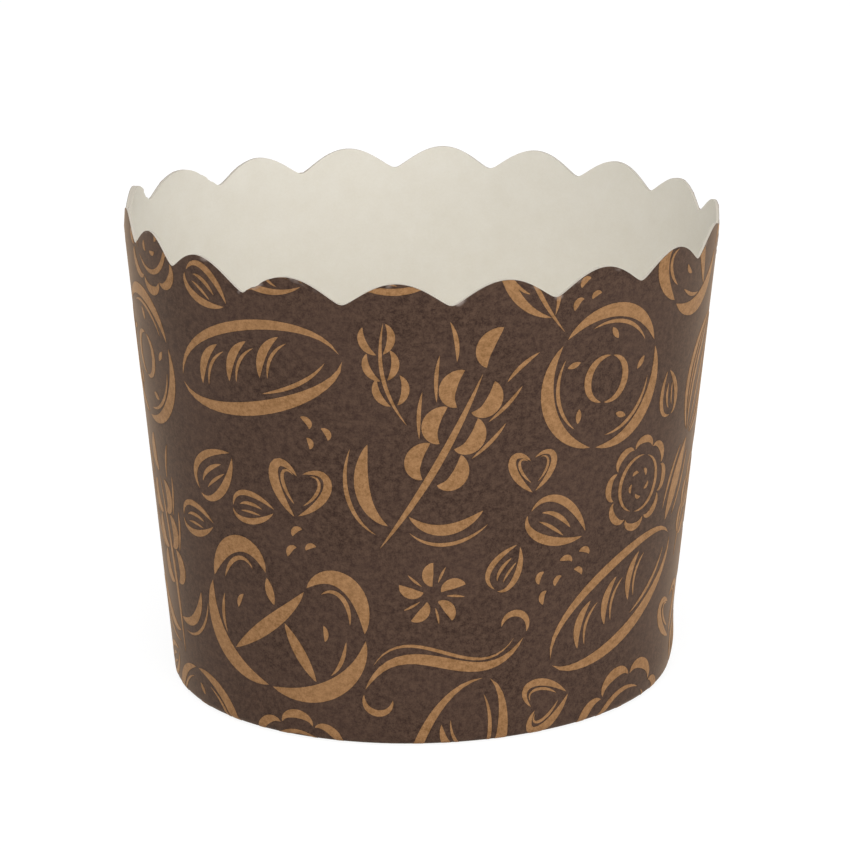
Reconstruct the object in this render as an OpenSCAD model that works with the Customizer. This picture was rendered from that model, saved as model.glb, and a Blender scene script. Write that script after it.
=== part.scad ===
// Baking cup of printed paper: a tapered sheet wrapped round and glued at a lap seam, its rim die-cut
// into scallops, its lower edge turned in and crimped under a round base disc.

/* [Cup] */
// Outer diameter across the tops of the scallops
rim_d = 70; // [60:0.5:90]
// Outer diameter that the sloping wall would have on the table
foot_d = 59.6; // [50:0.1:80]
// Height of the tops of the scallops above the table
cup_h = 56; // [44:0.5:80]

/* [Paper] */
// Thickness of the wall paper
wall_t = 0.3; // [0.2:0.05:0.5]
// Thickness of the base disc
base_t = 0.35; // [0.2:0.05:0.6]
// How much smaller the radius of the base disc is than the flat of the foot
base_gap = 0.1; // [0.05:0.05:0.5]
// Thickness of the glue between two plies, and between the base disc and the hem
glue_t = 0.02; // [0.01:0.01:0.1]

/* [Rim] */
// Number of scallops round the rim
scallop_n = 18; // [12:1:24]
// Depth of the notches between the scallops
scallop_h = 2.6; // [1:0.05:4]
// Roundness of the bottom of a notch, where a small number is a sharp V
notch_round = 0.16; // [0.05:0.01:0.6]
// Direction of the first notch, seen from above
notch_angle = 15.3; // [0:0.1:30]

/* [Foot] */
// Outer radius of the turned lower corner
foot_r = 1; // [0.8:0.1:2]
// Width of the hem that lies under the base disc
hem_w = 7; // [4:0.5:12]
// Height of the crimp folds at the inner edge of the hem
crimp_h = 0.15; // [0.05:0.01:0.3]
// Smooth border of the hem between the corner and the crimp folds
crimp_inset = 1.2; // [0.5:0.1:2.5]

/* [Lap seam] */
// Width of the overlap
lap_w = 8; // [5:0.5:12]
// Distance over which the sheet comes back out to the round wall beside the free edge
lap_run = 9; // [5:0.5:14]
// Place where the inner ply starts, counted in scallops round from the first notch
lap_notch = 7.5; // [0:0.5:17.5]
// Height above the corner at which the inner ply is trimmed
lap_trim = 0.3; // [0.1:0.1:1]

/* [Print] */
// Thickness of the printed ground
ground_t = 0.05; // [0.03:0.01:0.1]
// Thickness of the printed motifs
motif_t = 0.05; // [0.03:0.01:0.1]
// Size of the motifs against their room in the field
motif_size = 1; // [0.7:0.05:1]
// Unprinted gap between the field of motifs and the notches and foot
field_gap = 1.2; // [0.5:0.1:4]

/* [Hidden] */
$fn = 144;

wall_slope = atan((rim_d - foot_d) / 2 / cup_h);
// Radius of the flat of the foot, which is the middle of the turned corner's arc
foot_c = foot_d / 2 + foot_r * tan(wall_slope) - foot_r / cos(wall_slope);
corner_deg = 90 - wall_slope;

// Columns of the sheet: eight to a scallop, and two to a crimp fold
scallop_cols = 8;
turn_cols = scallop_n * scallop_cols;
col_deg = 360 / turn_cols;
col_w = foot_c * PI * col_deg / 180;
lap_cols = ceil(lap_w / col_w);
run_cols = lap_run / col_w;
cut_cols = 3;
last_col = turn_cols + lap_cols;
lap_angle = notch_angle + lap_notch * 360 / scallop_n;

// Rows of the sheet, from the inner edge of the hem up to the rim
HEM = 0;
HEM_BORDER = 1;
CORNER_START = 2;
CORNER_MID = 3;
CORNER_END = 4;
RIM = 5;

// Lowest height of the base disc, which lies on the crimp folds
base_z = wall_t + crimp_h + glue_t;
// Play between layers of print, more than the sag of the longest flat facet
ground_gap = 0.01;
motif_gap = 0.06;

// 0 at the start of a stretch, 1 at its end, level at both
function ease(t) = t >= 1 ? 1 : t <= 0 ? 0 : (1 - cos(180 * t)) / 2;

// How far the sheet lies inside the round form at column i, counted from the inner ply's edge
function tuck(i) = (wall_t + glue_t) * (1 - ease((i - lap_cols) / run_cols));

// Radius of a face that lies in by the distance inside, at height z of the wall
function wall_r(inside, z) = foot_d / 2 + z * tan(wall_slope) - inside / cos(wall_slope);

// Height of the rim in the direction a, broad round scallops with narrow notches between them
function rim_z(a) =
    let (top = sqrt(1 + notch_round ^ 2))
    let (here = sqrt(sin((a - notch_angle) * scallop_n / 2) ^ 2 + notch_round ^ 2))
    cup_h - scallop_h * (top - here) / (top - notch_round);

function around(r, a, z) = [r * cos(a), r * sin(a), z];

// A point of the turned corner, t degrees from the table, and its radius and height in the section
function corner(inside, t) =
    [foot_c + (foot_r - inside) * sin(t), foot_r - (foot_r - inside) * cos(t)];

// Width of the hem at column i; beside the inner ply its corner is cut off at an angle
function hem_reach(i) = hem_w * max(0.02, min(1, (i - lap_cols - 1) / cut_cols));

// Radius and height of the sheet at a column and row, the distance inside its outer face
function section(i, row, inside) =
    let (a = lap_angle + i * col_deg)
    let (trim_z = foot_r + lap_trim * (1 + row / CORNER_END))
    row == RIM ? [wall_r(inside + tuck(i), rim_z(a)), rim_z(a)]
    : i <= lap_cols ? [wall_r(inside + tuck(i), trim_z), trim_z]
    : row == CORNER_END ? corner(inside, corner_deg) - [tuck(i), 0]
    : row == CORNER_MID ? corner(inside, corner_deg / 2)
    : row == CORNER_START ? [foot_c, inside]
    : row == HEM_BORDER ? [foot_c - min(crimp_inset, hem_reach(i) / 2), inside]
    : [foot_c - hem_reach(i), inside + (i % 2) * crimp_h * hem_reach(i) / hem_w];

function sheet_point(i, row, inside) =
    let (p = section(i, row, inside))
    around(p[0], lap_angle + i * col_deg, p[1]);

function quad(a, b, c, d) = [[a, b, c], [a, c, d]];

// Solid between two faces of the sheet, from one column and row to another
module sheet(from_col, from_row, outer, inner) {
    cols = last_col - from_col;
    rows = RIM - from_row;
    function at(i, j, side) = (i * (rows + 1) + j) * 2 + side;
    points = [
        for (i = [0:cols], j = [0:rows], inside = [outer, inner])
            sheet_point(from_col + i, from_row + j, inside)
    ];
    faces = [
        for (i = [0:cols - 1], j = [0:rows - 1])
            each concat(
                quad(at(i, j, 0), at(i, j + 1, 0), at(i + 1, j + 1, 0), at(i + 1, j, 0)),
                quad(at(i, j, 1), at(i + 1, j, 1), at(i + 1, j + 1, 1), at(i, j + 1, 1))),
        for (i = [0:cols - 1])
            each concat(
                quad(at(i, rows, 0), at(i, rows, 1), at(i + 1, rows, 1), at(i + 1, rows, 0)),
                quad(at(i, 0, 0), at(i + 1, 0, 0), at(i + 1, 0, 1), at(i, 0, 1))),
        for (j = [0:rows - 1])
            each concat(
                quad(at(0, j + 1, 0), at(0, j, 0), at(0, j, 1), at(0, j + 1, 1)),
                quad(at(cols, j, 0), at(cols, j + 1, 0), at(cols, j + 1, 1), at(cols, j, 1)))
    ];
    polyhedron(points, faces);
}

module side_wall() {
    color("#ded8ca") sheet(0, HEM, 0, wall_t);
}

module base_disc() {
    color("#ded8ca") translate([0, 0, base_z]) cylinder(h = base_t, r = foot_c - base_gap);
}

module printed_ground() {
    color("#57473d") sheet(lap_cols, CORNER_MID, -ground_gap - ground_t, -ground_gap);
}

// The motifs are brush strokes. Each stroke is the four points of a Bezier curve, in millimetres
// from the motif's middle, and the width of its belly; it runs out to a point at both ends.

function polar(r, a) = [r * cos(a), r * sin(a)];

// Part of a ring from angle a to angle b
function ring_stroke(r, a, b, w) =
    let (k = r * 4 / 3 * tan((b - a) / 4))
    [polar(r, a), polar(r, a) + polar(k, a + 90), polar(r, b) - polar(k, b + 90), polar(r, b), w];

function turned(stroke, a) = [
    for (i = [0:3]) [stroke[i][0] * cos(a) - stroke[i][1] * sin(a),
                     stroke[i][0] * sin(a) + stroke[i][1] * cos(a)],
    stroke[4]
];

ear_grains = [
    for (y = [-3.4, 0.8, 5], side = [-1, 1])
        [[side * 0.8, y], [side * 2.7, y + 0.2], [side * 3.1, y + 2.4], [side * 1.7, y + 3.9], 1.7]
];
wheat = concat(ear_grains, [
    [[-1.6, -12], [-0.4, -6], [0.5, 0], [0.2, 9.2], 0.75],
    [[0.3, 9.9], [-1.2, 11], [-1, 12.9], [0.2, 14.4], 1.7],
    [[3, 9.2], [3.3, 10.6], [4, 12], [5, 13.2], 0.45],
    [[-2.8, 9.4], [-3.3, 10.8], [-4, 12], [-5.2, 13], 0.45],
    [[-1.9, -9.4], [-4.6, -9.2], [-7, -6.6], [-7.4, -2.2], 1.5],
    [[-0.4, -7.6], [2.4, -8.8], [5, -7.4], [6.4, -4.2], 1.2]
]);

pretzel = [
    [[0.25, -6.6], [5.2, -6.9], [9, -3.2], [8.6, 1.2], 1.9],
    [[-0.25, -6.6], [-5.2, -6.9], [-9, -3.2], [-8.6, 1.2], 1.9],
    [[8.4, 1.9], [8, 6.8], [4, 8.4], [2.2, 4.9], 1.7],
    [[-8.4, 1.9], [-8, 6.8], [-4, 8.4], [-2.2, 4.9], 1.7],
    [[2, 4.4], [0.9, 1.8], [-1.9, -1.3], [-4.6, -4.4], 1.5],
    [[0.55, 0.5], [1.6, -0.9], [3.1, -2.7], [4.6, -4.4], 1.2],
    [[-2, 4.4], [-1.7, 3.5], [-1.3, 2.7], [-0.8, 1.95], 0.9]
];

loaf_cuts = [
    for (x = [-5.2, -1.2, 2.8])
        [[x - 1.9, -1.3], [x - 1.4, 0.9], [x - 0.2, 2.1], [x + 1.6, 2.6], 0.95]
];
loaf = concat(loaf_cuts, [
    [[-10.4, -1], [-8.6, -5.6], [8.6, -5.6], [10.4, -1], 1.5],
    [[10.3, -0.2], [8.4, 5.8], [-8.4, 5.8], [-10.3, -0.2], 1.1]
]);

ring_roll = concat(
    [for (a = [20, 140, 260]) ring_stroke(7, a + 3, a + 117, 1.4)],
    [for (a = [80, 260]) ring_stroke(2.4, a + 4, a + 176, 0.8)],
    [for (a = [10:72:298]) turned([[4.1, -0.5], [4.4, -0.2], [4.9, 0.2], [5.2, 0.5], 0.6], a)]);

whisk = concat(
    [for (side = [-1, 1], bow = [[5.6, 0.9, 0.85], [2.9, 0.45, 0.6]])
        [[-2.2, side * bow[1]], [1, side * bow[0]], [7.2, side * bow[0]], [10.2, side * bow[1]],
         bow[2]]],
    [[[-11.5, 0], [-8.5, 0.15], [-5.5, 0.15], [-2.9, 0], 1.9],
     [[-1.9, 0], [2, 0.1], [6.4, 0.1], [10, 0], 0.5]]);

scroll = [
    [[-11, -3.4], [-5, 7], [3, -7.4], [9.6, 1.4], 1.5],
    [[10, 2.1], [11.2, 4.9], [7.4, 6.2], [6.7, 3.4], 0.9],
    [[-11.2, -4.1], [-11.8, -7], [-7.9, -7.8], [-7.6, -5], 0.9]
];

almond = [
    [[-3.2, -0.2], [-3, 2.9], [1, 2.6], [3.9, 0.3], 0.85],
    [[3.8, -0.3], [1, -2.8], [-3, -2.7], [-3.3, -0.7], 0.95],
    [[-2, 0.1], [-1.2, 0.7], [0.3, 0.7], [1.9, 0], 0.5]
];

heart = [
    [[0.15, -3], [-4.6, 0.6], [-3.2, 4.2], [-0.3, 1.5], 1.1],
    [[0.55, -2.8], [4.6, 0.4], [3.4, 4], [0.3, 1.9], 0.9]
];

petal = [[1.3, 0], [2.4, 1], [3.9, 0.8], [4.9, -0.1], 1.6];
blossom = [for (a = [18:72:306]) turned(petal, a)];

// Where the motifs lie: direction round the cup, height as a share of the field, turn and size
layout = [
    [ring_roll, 200, 0.79, 0, 1.1], [wheat, 203, 0.31, 12, 1],
    [loaf, 236, 0.85, 14, 1.1], [almond, 224, 0.57, 40, 1.1], [heart, 245, 0.57, -12, 1.1],
    [pretzel, 239, 0.23, -12, 1.2],
    [wheat, 274, 0.67, -24, 1.1], [scroll, 276, 0.17, 4, 0.9], [blossom, 272, 0.33, 0, 0.8],
    [ring_roll, 308, 0.80, 0, 1.15], [almond, 298, 0.48, -30, 1.15], [loaf, 317, 0.25, 28, 1.1],
    [whisk, 343, 0.63, 64, 1.15], [heart, 342, 0.13, 10, 1.1],
    [blossom, 4, 0.87, 0, 0.9], [pretzel, 11, 0.31, 10, 1.2], [almond, 17, 0.66, 60, 1.1],
    [wheat, 43, 0.62, 18, 1.1], [almond, 41, 0.10, 20, 1.1],
    [loaf, 70, 0.86, -16, 1.05], [heart, 68, 0.50, 14, 1.1], [ring_roll, 74, 0.22, 0, 1.15],
    [pretzel, 109, 0.67, -8, 1.2], [scroll, 113, 0.19, -10, 0.95],
    [whisk, 143, 0.60, 118, 1.15], [almond, 131, 0.40, 80, 1.1], [blossom, 148, 0.12, 0, 0.9],
    [heart, 169, 0.88, 6, 1.05], [almond, 163, 0.64, -20, 1.1], [loaf, 168, 0.29, 62, 1]
];

// The print was drawn for a field of this height and this mean radius, and stretches with the field
drawn_h = 50;
drawn_r = 32.3;

// Pieces that a stroke is divided into, by the way from its first point to its last
function stroke_cols(s) =
    min(9, 3 + floor((norm(s[1] - s[0]) + norm(s[2] - s[1]) + norm(s[3] - s[2])) / 3.8));

field_lo = foot_r + field_gap;
field_hi = cup_h - scallop_h - field_gap;
field_r = wall_r(0, (field_lo + field_hi) / 2);
stretch_up = motif_size * (field_hi - field_lo) / drawn_h;
stretch_round = motif_size * field_r / drawn_r;

function bezier(s, t) =
    (1 - t) ^ 3 * s[0] + 3 * (1 - t) ^ 2 * t * s[1] + 3 * (1 - t) * t ^ 2 * s[2] + t ^ 3 * s[3];

function bezier_way(s, t) =
    (1 - t) ^ 2 * (s[1] - s[0]) + 2 * (1 - t) * t * (s[2] - s[1]) + t ^ 2 * (s[3] - s[2]);

// A stroke's left (side 1) or right (side -1) edge at the share t of its length
function stroke_edge(s, t, side) =
    let (way = bezier_way(s, t))
    bezier(s, t) + side * s[4] / 2 * sin(180 * t) ^ 0.75 * [-way[1], way[0]] / norm(way);

// A point of a placed motif on the wall, the distance outside the sheet
function print_point(place, p, outside) =
    let (z = field_lo + place[2] * (field_hi - field_lo)
        + place[4] * stretch_up * (p[0] * sin(place[3]) + p[1] * cos(place[3])))
    let (x = place[4] * stretch_round * (p[0] * cos(place[3]) - p[1] * sin(place[3])))
    let (a = place[1] + x / wall_r(0, z) * 180 / PI)
    let (turn = a - lap_angle)
    let (i = (turn - 360 * floor(turn / 360)) / col_deg)
    around(wall_r((i < lap_cols ? 0 : tuck(i)) - outside, z), a, z);

// Points of one stroke: two at each tip and four at each place between
function stroke_points(place, s) =
    let (cols = stroke_cols(s))
    let (under = ground_gap + ground_t + motif_gap)
    [
        for (k = [0:cols], outside = [under + motif_t, under])
            for (side = k == 0 || k == cols ? [0] : [1, -1])
                print_point(place, stroke_edge(s, k / cols, side), outside)
    ];

// Which of those points is the left (side 0) or right one, on the upper (0) or lower face (1)
function stroke_at(k, cols, side, face) =
    k == 0 ? face
    : k == cols ? 4 * k - 2 + face
    : 4 * k - 2 + 2 * face + side;

// Faces of one stroke, where first is the number of its first point
function stroke_faces(cols, first) = [
    for (k = [0:cols - 1])
        let (a = [for (face = [0, 1], side = [0, 1]) first + stroke_at(k, cols, side, face)])
        let (b = [for (face = [0, 1], side = [0, 1]) first + stroke_at(k + 1, cols, side, face)])
        for (f = concat(quad(a[0], b[0], b[1], a[1]), quad(a[2], a[3], b[3], b[2]),
                        quad(b[0], a[0], a[2], b[2]), quad(a[1], b[1], b[3], a[3])))
            if (f[0] != f[1] && f[1] != f[2] && f[2] != f[0]) f
];

module printed_motifs() {
    strokes = [for (place = layout, s = place[0]) stroke_points(place, s)];
    counts = [for (points = strokes) len(points)];
    firsts = [for (n = 0, sum = 0; n < len(counts); sum = sum + counts[n], n = n + 1) sum];
    color("#9e774e")
        polyhedron(
            [for (points = strokes) each points],
            [for (n = [0:len(counts) - 1]) each stroke_faces(counts[n] / 4, firsts[n])]);
}

side_wall();
base_disc();
printed_ground();
printed_motifs();
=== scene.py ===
import math

import bpy
from mathutils import Euler, Matrix, Vector


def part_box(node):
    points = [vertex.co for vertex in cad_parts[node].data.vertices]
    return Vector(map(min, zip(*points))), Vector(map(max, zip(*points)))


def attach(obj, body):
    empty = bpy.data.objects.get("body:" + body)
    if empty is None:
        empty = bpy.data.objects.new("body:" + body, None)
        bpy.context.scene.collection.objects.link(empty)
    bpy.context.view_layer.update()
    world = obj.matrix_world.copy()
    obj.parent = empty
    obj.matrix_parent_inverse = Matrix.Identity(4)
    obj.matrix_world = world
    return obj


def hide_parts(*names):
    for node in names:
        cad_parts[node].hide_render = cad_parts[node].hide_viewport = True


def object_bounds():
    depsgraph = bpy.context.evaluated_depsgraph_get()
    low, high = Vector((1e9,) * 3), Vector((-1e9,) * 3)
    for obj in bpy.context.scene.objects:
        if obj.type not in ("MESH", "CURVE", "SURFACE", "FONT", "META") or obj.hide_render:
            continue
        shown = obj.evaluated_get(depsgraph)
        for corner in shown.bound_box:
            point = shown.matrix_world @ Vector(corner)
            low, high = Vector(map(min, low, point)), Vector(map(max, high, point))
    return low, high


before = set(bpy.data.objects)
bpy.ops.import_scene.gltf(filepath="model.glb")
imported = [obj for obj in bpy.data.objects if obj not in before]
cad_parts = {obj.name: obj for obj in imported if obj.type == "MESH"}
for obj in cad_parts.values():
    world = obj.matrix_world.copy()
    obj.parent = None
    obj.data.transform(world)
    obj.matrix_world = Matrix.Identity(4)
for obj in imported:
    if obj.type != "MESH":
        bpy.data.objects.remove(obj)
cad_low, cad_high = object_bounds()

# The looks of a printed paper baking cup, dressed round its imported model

MM = 0.001
TURN = 2 * math.pi

# Driving sizes of the cup in millimetres, and directions in degrees seen from above
RIM_D = 70
FOOT_D = 59.6
CUP_H = cad_high.z / MM
WALL_T = 0.3
GLUE_T = 0.02
FOOT_R = 1
HEM_W = 7
CRIMPS = 72
CRIMP_H = 0.15
CRIMP_INSET = 1.2
SCALLOPS = 18
SCALLOP_H = 2.6
NOTCH_ROUND = 0.16
NOTCH_DEG = 15.3
DISC_LOW, DISC_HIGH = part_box("base_disc")
PRESS_H = 0.05

# The lap seam: where its inner edge lies, in scallops from the first notch, its width, and the run past
# it in which the wall comes out again. Its outer ply ends 2.5 mm short of the solids' one, so that it
# stays out of sight from the front as on the photographed cup.
LAP_NOTCH = 7.5
LAP_W = 6
LAP_RUN = 4.5

# How this cup differs from a true cone: it leans to the right, is rounder on the left than on the
# right, as an egg is, is a little squared at the foot, and on the right it is drawn in towards the foot
# and bulges just above it. The lean is a slope, and a side's reach counts in the direction's cosine.
LEAN = 0.0113
EGG = 0.8
SQUARED = 0.22
DRAWN_IN = 0.22
BULGE = 0.45
BULGE_UP = 2.8
BULGE_REACH = 3
RIGHT_REACH = 1 / 3

# On the left its wall stands in a little, and more so where the rim curls in
LEFT_IN = 0.12
CURL_IN = 0.6
CURL_LOW = 54.2
CURL_HIGH = 58.2
LEFT_REACH = 1 / 6

# Its rim was cut a little low all round but rises on the left, where the scallops also sit further
# round to the front, and the die left three ragged nicks. A higher power begins and ends more sharply.
RIM_DROP = 0.5
LEFT_RISE = 2.1
RISE_AT = 188
RISE_REACH = 42
RISE_POWER = 3.0
SHIFT_DEG = 5.5
SHIFT_AT = 182
SHIFT_REACH = 33
SHIFT_POWER = 4.0
NICKS_DEG = (237.4, 138.5, 162.5)
NICK_H = 0.45
NICK_W = 1.8
NICK_POWER = 2.0
NICK_GRAIN = 1.1

# Print in millimetres: play under a layer, thickness of a layer, the bare margin that the motifs'
# heights are counted from, and the height and mean radius of the sheet that they were drawn for
INK_GAP = 0.01
INK_T = 0.03
FIELD_GAP = 1.2
DRAWN_H = 50
DRAWN_R = 32.3

# What follows from them
SLOPE = math.atan((RIM_D - FOOT_D) / 2 / CUP_H)
FOOT_C = FOOT_D / 2 + FOOT_R * math.tan(SLOPE) - FOOT_R / math.cos(SLOPE)
CORNER_TURN = math.pi / 2 - SLOPE
CORNER_LEN = CORNER_TURN * FOOT_R
CORNER_TOP = FOOT_R * (1 - math.sin(SLOPE))
CAD_COLUMN = TURN / SCALLOPS / 8
LAP_TURN = math.ceil(LAP_W / FOOT_C / CAD_COLUMN) * CAD_COLUMN
RUN_TURN = LAP_RUN / FOOT_C
SEAM = math.radians(NOTCH_DEG + LAP_NOTCH * 360 / SCALLOPS)
CUT_TURN = 3 * CAD_COLUMN

# Divisions of the sheet: columns to a scallop, and rows up the hem, the corner and the wall
SCALLOP_COLS = 48
SHEET_COLS = round(SCALLOPS * SCALLOP_COLS * (TURN + LAP_TURN) / TURN)
HEM_ROWS = 10
CORNER_ROWS = 8
WALL_ROWS = 30
ROWS = HEM_ROWS + CORNER_ROWS + WALL_ROWS

# Divisions of the disc and of a stroke
DISC_COLS = 288
DISC_ROWS = 28
CURVE_STEPS = 24
STROKE_POINTS = 21

# Faces that meet at more than this many degrees keep a sharp edge
SHARP_DEG = 40

# The two kinds of node that the trees use most
MATH = "ShaderNodeMath"
MAP_RANGE = "ShaderNodeMapRange"


def add(tree, kind, inputs=(), **settings):
    """Adds a node to a tree. Inputs go by order or name, and each is a value, a socket or a node."""
    node = tree.nodes.new(kind)
    for name, value in settings.items():
        setattr(node, name, value)
    pairs = inputs.items() if isinstance(inputs, dict) else enumerate(inputs)
    for key, value in pairs:
        if isinstance(value, bpy.types.Node):
            value = value.outputs[0]
        if isinstance(value, bpy.types.NodeSocket):
            tree.links.new(value, node.inputs[key])
        elif value is not None:
            node.inputs[key].default_value = value
    return node


def new_tree(name, inputs, outputs):
    """A geometry tree with named inputs and their default values, and the sockets that read them."""
    tree = bpy.data.node_groups.new(name, "GeometryNodeTree")
    kinds = {float: "NodeSocketFloat", int: "NodeSocketInt"}
    for title, value in inputs.items():
        kind = value if isinstance(value, str) else kinds[type(value)]
        socket = tree.interface.new_socket(title, in_out="INPUT", socket_type=kind)
        if kind != value:
            socket.default_value = value
    for title, kind in outputs.items():
        tree.interface.new_socket(title, in_out="OUTPUT", socket_type=kind)
    return tree, add(tree, "NodeGroupInput").outputs


# Shapes that more than one tree draws on. The inputs of a Map Range node go in the order value, from
# low, from high, to low, to high.

def bell(tree, value, middle, reach, power):
    """1 where a value is at its middle, falling to 0 past a reach, the steeper the higher the power."""
    away = add(tree, MATH, (value, middle), operation="SUBTRACT")
    spread = add(tree, MATH, (away, reach), operation="DIVIDE")
    either = add(tree, MATH, (spread,), operation="ABSOLUTE")
    steep = add(tree, MATH, (either, power), operation="POWER")
    falling = add(tree, MATH, (0.0, steep), operation="SUBTRACT")
    return add(tree, MATH, (falling,), operation="EXPONENT")


def unit_grid(tree, size):
    """A grid of columns and rows, and its places along both, from 0 to 1."""
    columns = add(tree, MATH, (size["Columns"], 1.0), operation="ADD")
    rows = add(tree, MATH, (size["Rows"], 1.0), operation="ADD")
    grid = add(tree, "GeometryNodeMeshGrid", (1.0, 1.0, columns, rows))
    return grid, add(tree, "ShaderNodeSeparateXYZ", (grid.outputs["UV Map"],)).outputs


def egg_inset(tree, east, north, depth):
    """How far an egg lies inside a circle: it is narrower on the right and wider on the left."""
    squared = add(tree, MATH, (north, north), operation="MULTIPLY")
    narrow = add(tree, MATH, (squared, east), operation="MULTIPLY")
    return add(tree, MATH, (narrow, depth), operation="MULTIPLY")


def round_place(tree, radius, east, north, height, lean):
    """A place at a radius and a height, moved to the right by the lean as it rises."""
    upright = add(tree, MATH, (radius, east), operation="MULTIPLY")
    x = add(tree, MATH, (height, lean, upright), operation="MULTIPLY_ADD")
    y = add(tree, MATH, (radius, north), operation="MULTIPLY")
    return add(tree, "ShaderNodeCombineXYZ", (x, y, height))


def noted(tree, shape, flat, gap):
    """The shape with what its material reads: the flat place on the paper, and the way to the rim."""
    placed = add(tree, "GeometryNodeStoreNamedAttribute",
                 {"Geometry": shape, "Name": "paper", "Value": flat}, data_type="FLOAT_VECTOR")
    return add(tree, "GeometryNodeStoreNamedAttribute",
               {"Geometry": placed, "Name": "rim_gap", "Value": gap}, data_type="FLOAT")


def rolled_up(tree, size, shape, turn, up, rim_up, roll):
    """The flat shape noted for its material and then rolled up."""
    flat_x = add(tree, MATH, (turn, size["Drawn radius"]), operation="MULTIPLY")
    flat = add(tree, "ShaderNodeCombineXYZ", (flat_x, up, 0.0))
    gap = add(tree, MATH, (rim_up, up), operation="SUBTRACT")
    rolled = add(tree, "GeometryNodeGroup",
                 {"Turn": turn, "Up": up, "Outside": size["Outside"]}, node_tree=roll)
    return add(tree, "GeometryNodeSetPosition",
               {"Geometry": noted(tree, shape, flat, gap), "Position": rolled})


def finished(tree, size, shape):
    """The end of a tree: points closer than the weld are merged, and the material is set."""
    welded = add(tree, "GeometryNodeMergeByDistance", {"Geometry": shape, "Distance": size["Weld"]})
    real = add(tree, "GeometryNodeRealizeInstances", (welded,))
    add(tree, "NodeGroupOutput",
        (add(tree, "GeometryNodeSetMaterial", {"Geometry": real, "Material": size["Material"]}),))
    return tree


def scallop_rim():
    """Height of the die-cut rim in a direction: broad round scallops with narrow notches, cut low but
    rising on the left, where they sit further round, and nicked where the die was blunt."""
    nicks = {"Nick %d" % n: math.radians(degrees) for n, degrees in enumerate(NICKS_DEG)}
    tree, size = new_tree(
        "Scallop rim",
        {
            **nicks,
            "Nick depth": NICK_H * MM,
            "Nick width": math.radians(NICK_W),
            "Nick power": NICK_POWER,
            "Nick grain": DRAWN_R / NICK_GRAIN,
            "Bites from": 0.4,
            "Whole bites from": 0.65,
            "Rim drop": RIM_DROP * MM,
            "Left rise": LEFT_RISE * MM,
            "Rise middle": math.radians(RISE_AT),
            "Rise reach": math.radians(RISE_REACH),
            "Rise power": RISE_POWER,
            "Shift": math.radians(SHIFT_DEG),
            "Shift middle": math.radians(SHIFT_AT),
            "Shift reach": math.radians(SHIFT_REACH),
            "Shift power": SHIFT_POWER,
            "Direction": 0.0,
            "Cup height": CUP_H * MM,
            "Scallops": float(SCALLOPS),
            "Scallop depth": SCALLOP_H * MM,
            "Notch round": NOTCH_ROUND,
            "First notch": math.radians(NOTCH_DEG),
        },
        {"Height": "NodeSocketFloat"},
    )
    direction = add(tree, MATH, (size["Direction"], TURN, 0.0), operation="WRAP")

    # The scallops, shifted on the left: a sine's size, rounded off where it comes down to the notches
    shifted = bell(tree, direction, size["Shift middle"], size["Shift reach"], size["Shift power"])
    first = add(tree, MATH, (shifted, size["Shift"], size["First notch"]),
                operation="MULTIPLY_ADD")
    past = add(tree, MATH, (direction, first), operation="SUBTRACT")
    turns = add(tree, MATH, (past, size["Scallops"]), operation="MULTIPLY")
    phase = add(tree, MATH, (turns, 2.0), operation="DIVIDE")
    wave = add(tree, MATH, (phase,), operation="SINE")
    square = add(tree, MATH, (wave, wave), operation="MULTIPLY")
    rounded = add(tree, MATH, (size["Notch round"], size["Notch round"], square),
                  operation="MULTIPLY_ADD")
    here = add(tree, MATH, (rounded,), operation="SQRT")
    crest = add(tree, MATH, (size["Notch round"], size["Notch round"], 1.0),
                operation="MULTIPLY_ADD")
    top = add(tree, MATH, (crest,), operation="SQRT")
    fall = add(tree, MATH, (top, here), operation="SUBTRACT")
    whole = add(tree, MATH, (top, size["Notch round"]), operation="SUBTRACT")
    share = add(tree, MATH, (fall, whole), operation="DIVIDE")
    drop = add(tree, MATH, (share, size["Scallop depth"]), operation="MULTIPLY")
    scalloped = add(tree, MATH, (size["Cup height"], drop), operation="SUBTRACT")

    # The rise on the left
    rising = bell(tree, direction, size["Rise middle"], size["Rise reach"], size["Rise power"])
    rise = add(tree, MATH, (rising, size["Left rise"]), operation="MULTIPLY")
    skew = add(tree, MATH, (rise, size["Rim drop"]), operation="SUBTRACT")
    skewed = add(tree, MATH, (scalloped, skew), operation="ADD")

    # Ragged bites that fade out on both sides of each nick
    bites = 0.0
    for title in nicks:
        near = bell(tree, direction, size[title], size["Nick width"], size["Nick power"])
        bites = add(tree, MATH, (bites, near), operation="ADD")
    ragged = add(tree, "ShaderNodeTexNoise", {"W": direction, "Scale": size["Nick grain"]},
                 noise_dimensions="1D")
    tooth = add(tree, MAP_RANGE,
                (ragged, size["Bites from"], size["Whole bites from"], 0.0, size["Nick depth"]))
    bitten = add(tree, MATH, (bites, tooth), operation="MULTIPLY")
    height = add(tree, MATH, (skewed, bitten), operation="SUBTRACT")
    add(tree, "NodeGroupOutput", (height,))
    return tree


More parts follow.
